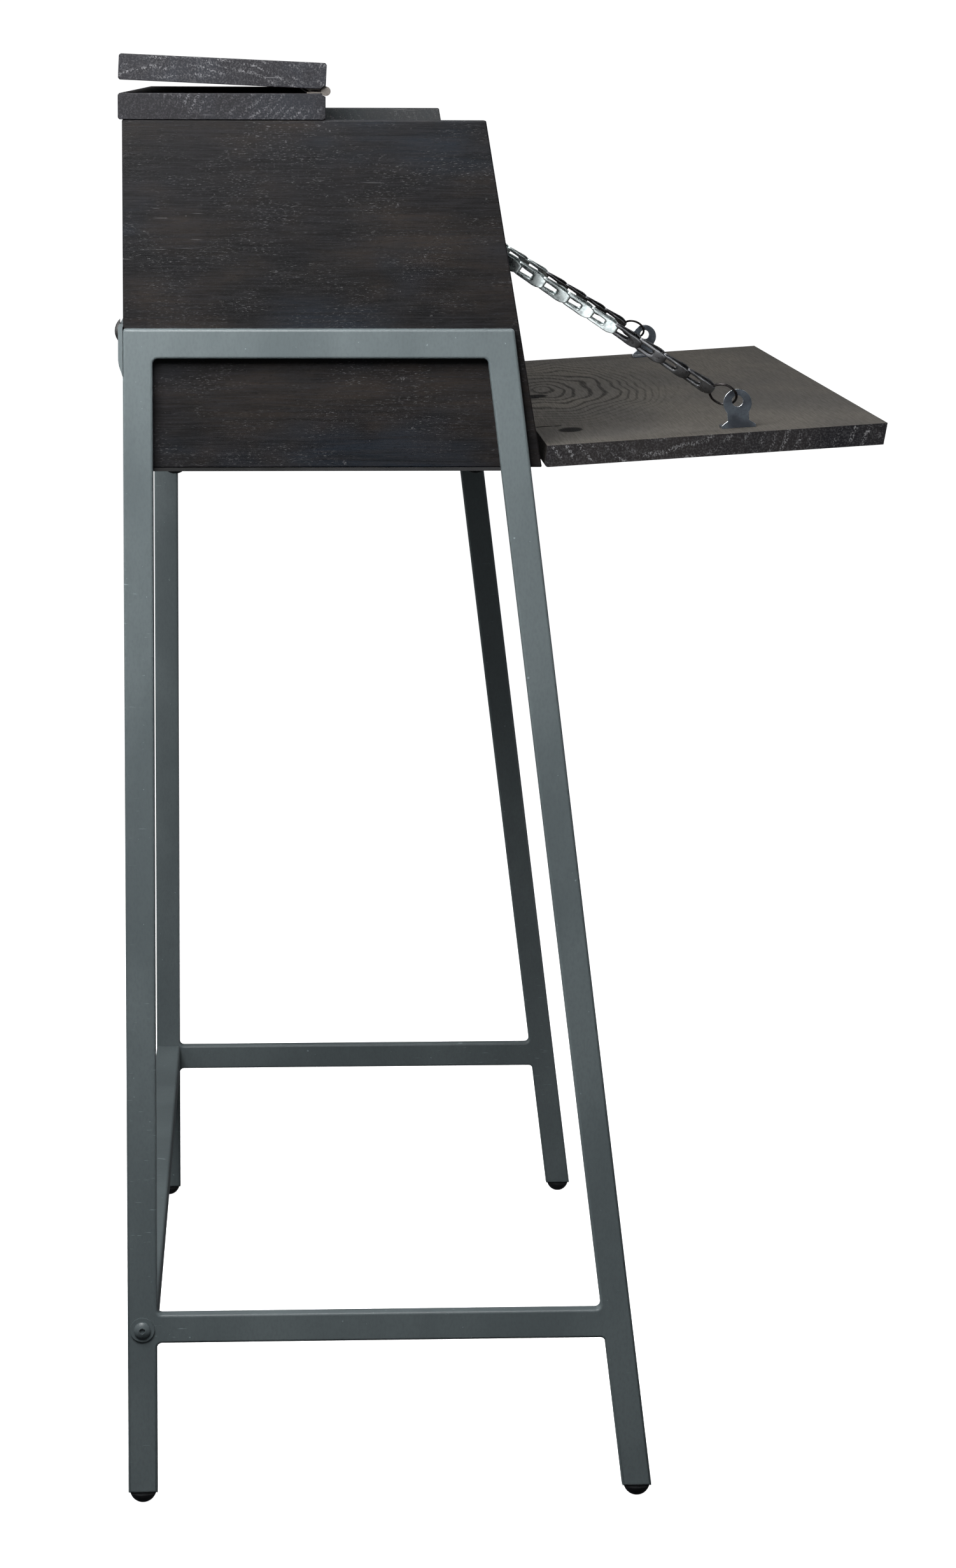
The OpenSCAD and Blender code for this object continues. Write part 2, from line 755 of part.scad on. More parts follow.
// Outline of one link: two round ends joined by a plate with a long slot. The first link has a wide
// eye for the jump ring, whose wire bears on the eye's lower edge.
module link_outline(ring_eye) {
    slot_w = 4.6;
    slot_margin = 2.4;
    slot_start = slot_margin + (ring_eye ? wire_offset + eye_r : rivet_r);
    difference() {
        union() {
            circle(link_w / 2);
            translate([0, -link_w / 2]) square([link_pitch, link_w]);
            translate([link_pitch, 0]) circle(link_w / 2);
        }
        if (ring_eye) translate([wire_offset, 0]) circle(eye_r);
        else circle(rivet_r + fit);
        translate([link_pitch, 0]) circle(rivet_r + fit);
        translate([slot_start, -slot_w / 2])
            square([link_pitch - rivet_r - slot_margin - slot_start, slot_w]);
    }
}

// X of a link layer's outer face: even links lie outboard, odd links inboard
function layer_x(i) = i % 2 == 0 ? -link_t - layer_gap / 2 : layer_gap / 2;

// Links i0 to i1, riveted in a row
module links(right, i0, i1) {
    middle = right ? chain_x : -chain_x;
    for (i = [i0 : i1]) {
        x0 = middle + layer_x(i);
        start = [first_link_a, first_link_z] + along(i * link_pitch);
        across(x0, x0 + link_t) translate(start) rotate(chain_angle) link_outline(i == 0);
    }
}

// The rivet at the start of link i, through both layers with a thin head on each side
module rivet(right, i) {
    middle = right ? chain_x : -chain_x;
    at = [first_link_a, first_link_z] + along(i * link_pitch);
    half = link_t + layer_gap / 2 + 0.1;
    head_h = 0.7;
    rod(middle - half - head_h, middle + half + head_h, at[0], at[1], rivet_r);
    for (x = [middle - half - head_h, middle + half])
        rod(x, x + head_h, at[0], at[1], rivet_r + 1);
}

module chain_lower(right) {
    color(gunmetal) {
        links(right, 0, links_lower - 1);
        for (i = [1 : links_lower]) rivet(right, i);
    }
}

module chain_middle(right) {
    color(gunmetal) links(right, links_lower, links_lower);
}

// The last pin reaches outboard into the hook's notch
module chain_upper(right) {
    middle = right ? chain_x : -chain_x;
    pin_over = 2.6;
    color(gunmetal) {
        links(right, links_lower + 1, link_count - 1);
        for (i = [links_lower + 1 : link_count - 1]) rivet(right, i);
        if (right) rod(middle - pin_over, hook_pin_end, hook_a, hook_z, rivet_r);
        else rod(-hook_pin_end, middle + pin_over, hook_a, hook_z, rivet_r);
    }
}

// ---- Nodes ----

rear_leg(false);  // left_rear_leg
rear_leg(true);  // right_rear_leg
front_leg(false);  // left_front_leg
front_leg(true);  // right_front_leg
top_bar(false);  // left_top_bar
top_bar(true);  // right_top_bar
stretcher(false);  // left_stretcher
stretcher(true);  // right_stretcher
rear_lower_crossbar();
crossbar_end_plugs();
crossbar_bolts();
crossbar_washers();
rear_upper_bar();
rear_bar_bolts();
case_strap(false);  // left_case_strap
case_strap(true);  // right_case_strap
case_bolts();
case_washers();
leg_inserts();
glide(false, false);  // left_rear_glide
glide(true, false);  // right_rear_glide
glide(false, true);  // left_front_glide
glide(true, true);  // right_front_glide
side_panel(false);  // left_side_panel
side_panel(true);  // right_side_panel
back_panel();
bottom_panel();
fixed_top_board();
lid_board();
lid_hinge_fixed_plate();
lid_hinge_moving_plate();
lid_hinge_pin();
lid_hinge_fixed_screws();
lid_hinge_moving_screws();
leaf_board();
leaf_hinge_arms();
leaf_hinge_pins();
leaf_hinge_screws();
leaf_tab(false);  // left_leaf_tab
leaf_tab(true);  // right_leaf_tab
leaf_tab_screws();
case_hook(false);  // left_case_hook
case_hook(true);  // right_case_hook
case_hook_screws();
ring(false);  // left_ring
ring(true);  // right_ring
chain_lower(false);  // left_chain_lower
chain_lower(true);  // right_chain_lower
chain_middle(false);  // left_chain_middle
chain_middle(true);  // right_chain_middle
chain_upper(false);  // left_chain_upper
chain_upper(true);  // right_chain_upper
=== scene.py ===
# A standing drop-leaf desk in its photographed pose: materials, visual pieces, lights and a camera for the
# CAD nodes. Metres, +Z up, -Y is the user's side, and the camera looks at the left (-X) side.
import json
import math
import random
import bmesh
import bpy
from mathutils import Matrix, Vector

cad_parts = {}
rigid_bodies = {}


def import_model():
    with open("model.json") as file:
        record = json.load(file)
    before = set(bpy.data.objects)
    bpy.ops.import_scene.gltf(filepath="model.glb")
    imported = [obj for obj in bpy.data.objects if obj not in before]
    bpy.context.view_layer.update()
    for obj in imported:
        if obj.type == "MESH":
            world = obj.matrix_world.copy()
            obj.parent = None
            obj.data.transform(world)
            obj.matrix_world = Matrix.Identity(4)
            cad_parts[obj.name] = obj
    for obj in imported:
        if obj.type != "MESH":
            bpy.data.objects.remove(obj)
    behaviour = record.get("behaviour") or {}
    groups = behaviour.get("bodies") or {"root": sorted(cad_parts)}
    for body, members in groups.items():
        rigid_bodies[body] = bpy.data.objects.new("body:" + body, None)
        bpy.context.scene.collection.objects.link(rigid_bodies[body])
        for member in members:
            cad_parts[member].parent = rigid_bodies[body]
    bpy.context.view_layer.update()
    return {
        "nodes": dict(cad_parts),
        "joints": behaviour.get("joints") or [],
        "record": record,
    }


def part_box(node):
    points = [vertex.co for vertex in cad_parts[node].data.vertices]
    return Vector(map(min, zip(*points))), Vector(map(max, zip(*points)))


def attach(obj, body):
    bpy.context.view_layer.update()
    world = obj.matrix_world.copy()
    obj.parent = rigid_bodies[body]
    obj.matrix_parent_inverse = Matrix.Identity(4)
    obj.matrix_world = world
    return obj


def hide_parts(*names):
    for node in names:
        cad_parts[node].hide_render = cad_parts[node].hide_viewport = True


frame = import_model()
nodes = frame["nodes"]
joints = {j["name"]: j for j in frame["joints"]}
body_of_node = {n: body for body, names in frame["record"]["behaviour"]["bodies"].items() for n in names}
slot_of_node = {p["node"]: p.get("material_slot") for p in frame["record"]["subparts"]}
SIDES = ("left", "right")

scene = bpy.context.scene
scene.view_settings.view_transform = "Standard"


# ---------------------------------------------------------------- materials
class Graph:
    """Wires one material's shader nodes. All patterns are in object space."""

    def __init__(self, name):
        self.mat = bpy.data.materials.new(name)
        self.mat.use_nodes = True
        self.nt = self.mat.node_tree
        self.nt.nodes.clear()
        out = self.nt.nodes.new("ShaderNodeOutputMaterial")
        self.bsdf = self.nt.nodes.new("ShaderNodeBsdfPrincipled")
        self.nt.links.new(self.bsdf.outputs[0], out.inputs[0])
        self.tc = self.nt.nodes.new("ShaderNodeTexCoord")

    def link(self, a, b):
        self.nt.links.new(a, b)

    def put(self, value, socket):
        """Links a socket, or sets a constant on the node's own socket."""
        if isinstance(value, bpy.types.NodeSocket):
            self.link(value, socket)
        else:
            socket.default_value = value

    def coords(self, scale, rotation=(0, 0, 0), location=(0, 0, 0)):
        m = self.nt.nodes.new("ShaderNodeMapping")
        m.inputs["Scale"].default_value = scale
        m.inputs["Rotation"].default_value = rotation
        m.inputs["Location"].default_value = location
        self.link(self.tc.outputs["Object"], m.inputs["Vector"])
        return m.outputs[0]

    def noise(self, vector, scale=1.0, detail=3.0, rough=0.55, distortion=0.0):
        n = self.nt.nodes.new("ShaderNodeTexNoise")
        self.link(vector, n.inputs["Vector"])
        n.inputs["Scale"].default_value = scale
        n.inputs["Detail"].default_value = detail
        n.inputs["Roughness"].default_value = rough
        n.inputs["Distortion"].default_value = distortion
        return n.outputs["Fac"]

    def math(self, op, a, b=0.0, clamp=False):
        n = self.nt.nodes.new("ShaderNodeMath")
        n.operation = op
        n.use_clamp = clamp
        self.put(a, n.inputs[0])
        self.put(b, n.inputs[1])
        return n.outputs[0]

    def step(self, value, lo, hi, to_lo=0.0, to_hi=1.0):
        """A smooth step from to_lo to to_hi as the value goes from lo to hi."""
        n = self.nt.nodes.new("ShaderNodeMapRange")
        n.interpolation_type = "SMOOTHSTEP"
        self.put(value, n.inputs["Value"])
        n.inputs["From Min"].default_value = lo
        n.inputs["From Max"].default_value = hi
        n.inputs["To Min"].default_value = to_lo
        n.inputs["To Max"].default_value = to_hi
        return n.outputs[0]

    def mix(self, fac, a, b):
        n = self.nt.nodes.new("ShaderNodeMix")
        n.data_type = "RGBA"
        self.put(fac, n.inputs["Factor"])
        self.put(a if isinstance(a, bpy.types.NodeSocket) else (*a, 1), n.inputs["A"])
        self.put(b if isinstance(b, bpy.types.NodeSocket) else (*b, 1), n.inputs["B"])
        return n.outputs["Result"]

    def length(self, a, b):
        return self.math("SQRT", self.math("ADD", self.math("MULTIPLY", a, a), self.math("MULTIPLY", b, b)))

    def product(self, *values):
        out = values[0]
        for value in values[1:]:
            out = self.math("MULTIPLY", out, value)
        return out

    def speck(self):
        """Fine pale specks, for cut pores in end grain."""
        return self.step(self.noise(self.coords((650, 650, 650)), detail=3.0, rough=0.75), 0.46, 0.64)

    def facing(self, component):
        """1 on faces that look along one axis, from that component of the normal."""
        return self.step(self.math("ABSOLUTE", component), 0.75, 0.9)

    def separate(self, vector):
        n = self.nt.nodes.new("ShaderNodeSeparateXYZ")
        self.link(vector, n.inputs[0])
        return n.outputs

    def bump(self, height, strength, distance):
        n = self.nt.nodes.new("ShaderNodeBump")
        n.inputs["Strength"].default_value = strength
        n.inputs["Distance"].default_value = distance
        self.put(height, n.inputs["Height"])
        self.link(n.outputs[0], self.bsdf.inputs["Normal"])

    def finish(self, color, rough, metallic=0.0, coat=0.0, specular=0.4):
        """Sets the shader's main inputs and hands back the material."""
        self.put(color if isinstance(color, bpy.types.NodeSocket) else (*color, 1),
                 self.bsdf.inputs["Base Color"])
        self.put(rough, self.bsdf.inputs["Roughness"])
        self.bsdf.inputs["Metallic"].default_value = metallic
        self.bsdf.inputs["Coat Weight"].default_value = coat
        self.bsdf.inputs["Coat Roughness"].default_value = 0.35
        self.bsdf.inputs["Specular IOR Level"].default_value = specular
        return self.mat


def wood(name, along, dark, brown, blue, fleck, seed, fleck_amount=0.6, heart=(0.30, 0.99)):
    """Stained wood with pale-filled pores. The grain runs along X or Y, and faces across the grain show
    growth rings round `heart`, given as a place across the grain and a height."""
    g = Graph(name)

    def grain_coords(lengthways, crossways, where):
        scale = (lengthways, crossways, crossways) if along == "X" else (crossways, lengthways, crossways)
        return g.coords(scale, location=where)

    at = (seed * 1.7, seed * 2.3, seed * 0.9)
    at2 = (at[1], at[2], at[0])
    fibre = g.noise(grain_coords(30, 700, at), detail=5.0, rough=0.65)
    streak = g.noise(grain_coords(5, 95, at), detail=5.0, rough=0.65, distortion=1.0)
    cloud = g.noise(grain_coords(7, 15, at), detail=4.0, rough=0.62)
    tint = g.noise(grain_coords(5, 11, at2), detail=3.0)
    pore = g.noise(grain_coords(270, 2100, at), detail=2.0, rough=0.6)
    dark_pore = g.noise(grain_coords(150, 1000, at2), detail=2.0, rough=0.6)
    pore_zone = g.noise(grain_coords(16, 42, at), detail=4.0, rough=0.65)
    normal = g.separate(g.tc.outputs["Normal"])
    place = g.separate(g.tc.outputs["Object"])
    # face grain
    color = g.mix(g.step(cloud, 0.38, 0.66), dark, brown)
    color = g.mix(g.step(tint, 0.50, 0.68, 0.0, 0.85), color, blue)
    color = g.mix(g.step(streak, 0.42, 0.66, 0.0, 0.6), color, [c * 0.45 for c in dark])
    color = g.mix(g.step(fibre, 0.42, 0.68, 0.0, 0.6), color, [c * 3.4 for c in dark])
    color = g.mix(g.step(dark_pore, 0.58, 0.70, 0.0, 0.7), color, [c * 0.3 for c in dark])
    flecks = g.product(g.step(pore, 0.60, 0.72), g.step(pore_zone, 0.42, 0.66, 0.10, 1.0), fleck_amount)
    face = g.mix(flecks, color, fleck)
    # end grain
    across, sideways = (normal["X"], place["Y"]) if along == "X" else (normal["Y"], place["X"])
    end = g.facing(across)
    rad = g.length(g.math("SUBTRACT", sideways, heart[0]), g.math("SUBTRACT", place["Z"], heart[1]))
    wobble = g.noise(g.coords((16, 16, 16), location=at), detail=2.0)
    rad = g.math("ADD", rad, g.math("MULTIPLY", wobble, 0.03))
    ring = g.step(g.math("SINE", g.math("MULTIPLY", rad, 900.0)), 0.0, 1.0, 0.15, 1.0)
    ring_zone = g.step(g.noise(g.coords((20, 24, 60), location=at), detail=3.0), 0.44, 0.62, 0.1, 1.0)
    speck = g.speck()
    end_light = g.product(ring, ring_zone, speck)
    end_light = g.math("ADD", g.math("MULTIPLY", end_light, 0.8), g.math("MULTIPLY", speck, 0.1))
    ended = g.mix(g.step(cloud, 0.38, 0.66), [c * 1.2 for c in dark], blue)
    ended = g.mix(end_light, ended, fleck)
    color = g.mix(end, face, ended)
    # a few scratches and dents
    scratch = g.noise(g.coords((500, 24, 400), rotation=(0.5, 0.3, 0.7)), detail=1.0)
    zone = g.noise(g.coords((9, 9, 9), location=(seed, 0, 0)), detail=1.0)
    cut = g.math("MULTIPLY", g.step(scratch, 0.72, 0.77), g.step(zone, 0.56, 0.66))
    dent = g.step(g.noise(g.coords((110, 110, 110), location=at2), detail=2.0), 0.715, 0.74)
    cut = g.math("MAXIMUM", cut, g.math("MULTIPLY", dent, speck))
    color = g.mix(g.math("MULTIPLY", cut, 0.5), color, fleck)
    relief = g.math("ADD", g.math("MULTIPLY", fibre, 0.6), g.math("MULTIPLY", streak, 0.4))
    relief = g.math("SUBTRACT", relief, g.math("MULTIPLY", flecks, 0.5))
    g.bump(relief, 0.35, 0.0005)
    rough = g.step(g.math("ADD", g.math("MULTIPLY", fibre, 0.6), g.math("MULTIPLY", cloud, 0.4)),
                   0.3, 0.7, 0.42, 0.6)
    return g.finish(color, rough, specular=0.2)


def leaf_top_wood():
    """The leaf: brown-grey with a cathedral figure and knots on its face, and growth rings on its ends."""
    g = Graph("leaf_wood")
    lo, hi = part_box("leaf_board")
    at = (3.1, 1.7, 5.0)
    place = g.separate(g.tc.outputs["Object"])
    fibre = g.noise(g.coords((28, 1000, 1000), location=at), detail=4.0, rough=0.6)
    cloud = g.noise(g.coords((5, 8, 8), location=at), detail=3.0)
    bend = g.noise(g.coords((3.0, 10, 10), location=at), detail=2.0, rough=0.5)
    # cathedral figure: nested ovals, drawn out along X round one point near the hinge
    centre_x, centre_y, squeeze = 0.10, hi.y - 0.035, 0.30
    oval = g.length(g.math("MULTIPLY", g.math("SUBTRACT", place["X"], centre_x), squeeze),
                    g.math("SUBTRACT", place["Y"], centre_y))
    oval = g.math("ADD", oval, g.math("MULTIPLY", bend, 0.08))
    line = g.step(g.math("SINE", g.math("MULTIPLY", oval, 700.0)), 0.25, 0.95)
    line = g.product(line, g.step(oval, 0.075, 0.19, 0.8, 0.08), g.step(fibre, 0.34, 0.56, 0.6, 1.0))
    color = g.mix(g.step(cloud, 0.36, 0.66), (0.066, 0.062, 0.057), (0.086, 0.079, 0.069))
    color = g.mix(g.step(fibre, 0.34, 0.68, 0.0, 0.5), color, (0.044, 0.042, 0.039))
    color = g.mix(line, color, (0.006, 0.0055, 0.005))
    # knots: dark ovals, each with its x, its distance in from the hinge edge and its two half widths
    dark = 0.0
    for knot_x, inward, half_x, half_y in ((-0.345, 0.032, 0.024, 0.012), (0.020, 0.026, 0.022, 0.0115),
                                           (0.39, 0.020, 0.016, 0.007)):
        away = g.length(g.math("DIVIDE", g.math("SUBTRACT", place["X"], knot_x), half_x),
                        g.math("DIVIDE", g.math("SUBTRACT", place["Y"], hi.y - inward), half_y))
        away = g.math("ADD", away, g.math("MULTIPLY", g.math("SUBTRACT", cloud, 0.5), 0.9))
        dark = g.math("MAXIMUM", g.step(away, 0.95, 0.7), dark)
    color = g.mix(dark, color, (0.004, 0.0035, 0.0035))
    # ends: growth rings with pale specks; the long edges are darker than the face
    normal = g.separate(g.tc.outputs["Normal"])
    end = g.facing(normal["X"])
    rad = g.length(g.math("SUBTRACT", place["Y"], lo.y + 0.19),
                   g.math("MULTIPLY", g.math("SUBTRACT", place["Z"], 1.0), 0.8))
    rad = g.math("ADD", rad, g.math("MULTIPLY", g.noise(g.coords((12, 12, 12)), detail=2.0), 0.03))
    ring = g.step(g.math("SINE", g.math("MULTIPLY", rad, 620.0)), 0.2, 1.0)
    speck = g.speck()
    zone = g.step(g.noise(g.coords((16, 18, 60), location=at), detail=3.0), 0.42, 0.62)
    pale = g.product(ring, speck, g.math("MULTIPLY", zone, 0.9))
    pale = g.math("ADD", pale, g.math("MULTIPLY", speck, 0.16))
    ended = g.mix(g.step(cloud, 0.35, 0.7), (0.009, 0.009, 0.011), (0.019, 0.017, 0.017))
    ended = g.mix(pale, ended, (0.17, 0.17, 0.175))
    color = g.mix(end, color, ended)
    edge = g.step(g.math("ABSOLUTE", normal["Z"]), 0.75, 0.5)
    edge = g.math("MULTIPLY", edge, g.math("SUBTRACT", 1.0, end, True))
    color = g.mix(g.math("MULTIPLY", edge, 0.7), color, (0.012, 0.011, 0.011))
    relief = g.math("SUBTRACT", g.math("MULTIPLY", fibre, 0.6), g.math("MULTIPLY", line, 0.5))
    relief = g.math("SUBTRACT", relief, dark)
    g.bump(relief, 0.3, 0.0005)
    return g.finish(color, g.step(fibre, 0.3, 0.7, 0.6, 0.75), specular=0.06)


def paint(name, base, dusty, dark, rough=0.42, scuffs=0.5):
    """Worn paint or plastic: a soft change of tone, fine grain, scuffs and small chips."""
    g = Graph(name)
    soft = g.noise(g.coords((9, 9, 5)), detail=4.0, rough=0.6)
    grain = g.noise(g.coords((520, 520, 260)), detail=3.0, rough=0.6)
    marks = g.noise(g.coords((60, 60, 900), rotation=(0.08, 0, 0)), detail=2.0)
    zone = g.noise(g.coords((5, 5, 3.4), location=(4, 1, 2)), detail=2.0)
    color = g.mix(g.step(soft, 0.36, 0.66), base, dusty)
    color = g.mix(g.step(grain, 0.4, 0.7, 0.0, 0.22), color, dark)
    scuff = g.math("MULTIPLY", g.step(marks, 0.70, 0.76), g.step(zone, 0.5, 0.64))
    chips = g.noise(g.coords((240, 240, 240), location=(2, 2, 2)), detail=2.0, rough=0.6)
    chips = g.step(chips, 0.735, 0.76)
    scuff = g.math("MAXIMUM", g.math("MULTIPLY", scuff, scuffs), g.math("MULTIPLY", chips, scuffs * 0.8))
    color = g.mix(scuff, color, [min(1, c * 3.2) for c in dusty])
    g.bump(g.math("ADD", g.math("MULTIPLY", grain, 0.7), g.math("MULTIPLY", soft, 0.5)), 0.16, 0.0003)
    return g.finish(color, g.step(soft, 0.3, 0.7, rough - 0.06, rough + 0.1), coat=0.12)


def metal(name, base, tarnish, rough=0.3, fine=900.0, amount=0.6, metallic=1.0, bump=0.12):
    """Brushed metal with clouds and spots of tarnish."""
    g = Graph(name)
    spots = g.noise(g.coords((fine * 0.5,) * 3), detail=4.0, rough=0.7)
    cloud = g.noise(g.coords((70, 70, 70)), detail=3.0)
    brushed = g.noise(g.coords((fine, fine * 0.08, fine * 0.3)), detail=2.0)
    color = g.mix(g.step(cloud, 0.35, 0.7, 0.0, amount), base, tarnish)
    color = g.mix(g.step(spots, 0.5, 0.72, 0.0, amount * 0.7), color, tarnish)
    g.bump(g.math("ADD", g.math("MULTIPLY", spots, 0.6), g.math("MULTIPLY", brushed, 0.4)), bump, 0.0002)
    return g.finish(color, g.step(spots, 0.3, 0.7, rough - 0.07, rough + 0.12), metallic=metallic)


M = {
    "side_wood": wood("side_wood", "Y", (0.0032, 0.0031, 0.0037), (0.0150, 0.0112, 0.0092),
                      (0.0075, 0.0110, 0.0165), (0.13, 0.13, 0.134), 1),
    "case_wood": wood("case_wood", "X", (0.0034, 0.0032, 0.0039), (0.0150, 0.0112, 0.0092),
                      (0.0075, 0.0105, 0.0155), (0.12, 0.12, 0.123), 2),
    "board_wood": wood("board_wood", "X", (0.0068, 0.0065, 0.0082), (0.0125, 0.0100, 0.0095),
                       (0.0105, 0.0118, 0.0158), (0.13, 0.13, 0.14), 3, heart=(0.02, 1.05)),
    "lid_wood": wood("lid_wood", "X", (0.0085, 0.0081, 0.0102), (0.015, 0.0120, 0.0115),
                     (0.0150, 0.0165, 0.0215), (0.19, 0.19, 0.20), 4, heart=(0.30, 0.97)),
    # the case's inner faces: a paler wood that also holds painted light from above
    "inner_wood": wood("inner_wood", "X", (0.036, 0.038, 0.040), (0.052, 0.048, 0.044),
                       (0.040, 0.046, 0.050), (0.16, 0.16, 0.16), 5, 0.4),
    "leaf_wood": leaf_top_wood(),
    "frame_paint": paint("frame_paint", (0.092, 0.112, 0.118), (0.112, 0.136, 0.142),
                         (0.060, 0.072, 0.077)),
    "black_steel": paint("black_steel", (0.012, 0.012, 0.012), (0.018, 0.018, 0.019),
                         (0.006, 0.006, 0.006), 0.4, 0.3),
    "zinc_steel": metal("zinc_steel", (0.30, 0.31, 0.32), (0.10, 0.10, 0.11), 0.34),
    "glide_steel": metal("glide_steel", (0.16, 0.16, 0.17), (0.05, 0.05, 0.052), 0.38),
    "hinge_steel": metal("hinge_steel", (0.19, 0.175, 0.16), (0.08, 0.065, 0.055), 0.36),
    "tab_steel": metal("tab_steel", (0.058, 0.068, 0.080), (0.022, 0.025, 0.031),
                       0.42, 1100.0, 0.9, 0.75, 0.25),
    # a pale steel for the tabs' eased edges, a painted highlight
    "bright_edge": metal("bright_edge", (0.55, 0.57, 0.59), (0.28, 0.29, 0.31), 0.3, 900.0, 0.4),
    "ring_steel": metal("ring_steel", (0.045, 0.042, 0.042), (0.018, 0.015, 0.015),
                        0.28, 700.0, 0.6, 0.9),
    # chain steel in two copies: the bright one carries a painted reflection, the dark one painted shade
    "chain_bright": metal("chain_bright", (0.52, 0.58, 0.58), (0.20, 0.22, 0.225), 0.3, 500.0, 0.75),
    "chain_dark": metal("chain_dark", (0.20, 0.205, 0.215), (0.06, 0.06, 0.064), 0.32, 500.0, 0.8),
    "plastic_insert": paint("plastic_insert", (0.012, 0.012, 0.012), (0.018, 0.018, 0.018),
                            (0.008, 0.008, 0.008), 0.5, 0.1),
}

# A node's material comes from its own entry, or else from its slot's, or else has the slot's name
BY_SLOT = {"gunmetal": "tab_steel", "chain_steel": "chain_bright", "stained_wood": "case_wood"}
BY_NODE = {"left_side_panel": "side_wood", "right_side_panel": "side_wood", "fixed_top_board": "board_wood",
           "lid_board": "lid_wood", "left_ring": "ring_steel", "right_ring": "ring_steel",
           "left_rear_glide": "glide_steel", "right_rear_glide": "glide_steel",
           "left_front_glide": "glide_steel", "right_front_glide": "glide_steel",
           "crossbar_bolts": "frame_paint", "crossbar_washers": "frame_paint"}


def material_for(n):
    slot = slot_of_node[n]
    return M[BY_NODE.get(n, BY_SLOT.get(slot, slot))]


for n, o in nodes.items():
    o.data.materials.clear()
    o.data.materials.append(material_for(n))


# ---------------------------------------------------------------- pieces
def piece(name, mesh, body, mats, replaces):
    """A visual piece that rides on a body and may replace CAD nodes."""
    o = bpy.data.objects.new(name, mesh)
    scene.collection.objects.link(o)
    for m in mats:
        mesh.materials.append(m)
    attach(o, body)
    if replaces:
        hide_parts(*replaces)
    return o


def eased(n, width, segments=3, edge=None, inside=None):
    """A copy of a CAD node with its edges eased, in place of it. The eased edges get the material `edge`, a
    painted highlight on the tabs, and faces that look along `inside` get the paler wood of the case's inner
    faces, which also holds painted light from above."""
    mesh = nodes[n].data.copy()
    mesh.materials.clear()
    bm = bmesh.new()
    bm.from_mesh(mesh)
    bmesh.ops.remove_doubles(bm, verts=bm.verts, dist=1e-6)
    bmesh.ops.dissolve_limit(bm, angle_limit=0.01, verts=bm.verts, edges=bm.edges)
    for f in bm.faces:
        f.smooth = False
        if inside and f.normal.dot(Vector(inside)) > 0.9:
            f.material_index = 1
    bm.to_mesh(mesh)
    bm.free()
    mats = [material_for(n)] + ([M[edge]] if edge else []) + ([M["inner_wood"]] if inside else [])
    o = piece(n + "_eased", mesh, body_of_node[n], mats, (n,))
    b = o.modifiers.new("ease", "BEVEL")
    b.width = width
    b.segments = segments
    b.limit_method = "ANGLE"
    b.angle_limit = math.radians(35)
    if edge:
        b.material = 1


# inward faces get the paler inner wood with its painted light from above
for n, width, way in (("left_side_panel", 0.0012, (1, 0, 0)), ("right_side_panel", 0.0012, (-1, 0, 0)),
                      ("fixed_top_board", 0.0012, None), ("lid_board", 0.0012, None),
                      ("back_panel", 0.0005, (0, -1, 0)), ("bottom_panel", 0.0005, (0, 0, 1)),
                      ("leaf_board", 0.0009, None)):
    eased(n, width, inside=way)
for side in SIDES:
    # the tabs' eased edges get a painted highlight
    eased(f"{side}_leaf_tab", 0.00035, 2, "bright_edge")


def rounded(points, radii, steps=5):
    """A closed outline with each corner rounded by its own radius."""
    out = []
    k = len(points)
    for i, (p, r) in enumerate(zip(points, radii)):
        a, b = (points[i - 1] - p).normalized(), (points[(i + 1) % k] - p).normalized()
        if not r:
            out.append(p)
            continue
        half = math.acos(max(-1, min(1, a.dot(b)))) / 2
        reach = r / math.tan(half)
        centre = p + (a + b).normalized() * (r / math.sin(half))
        start, stop = p + a * reach - centre, p + b * reach - centre
        turn = start.angle_signed(stop)
        for n in range(steps + 1):
            t = -turn * n / steps
            out.append(centre + Vector((start.x * math.cos(t) - start.y * math.sin(t),
                                        start.x * math.sin(t) + start.y * math.cos(t))))
    return out


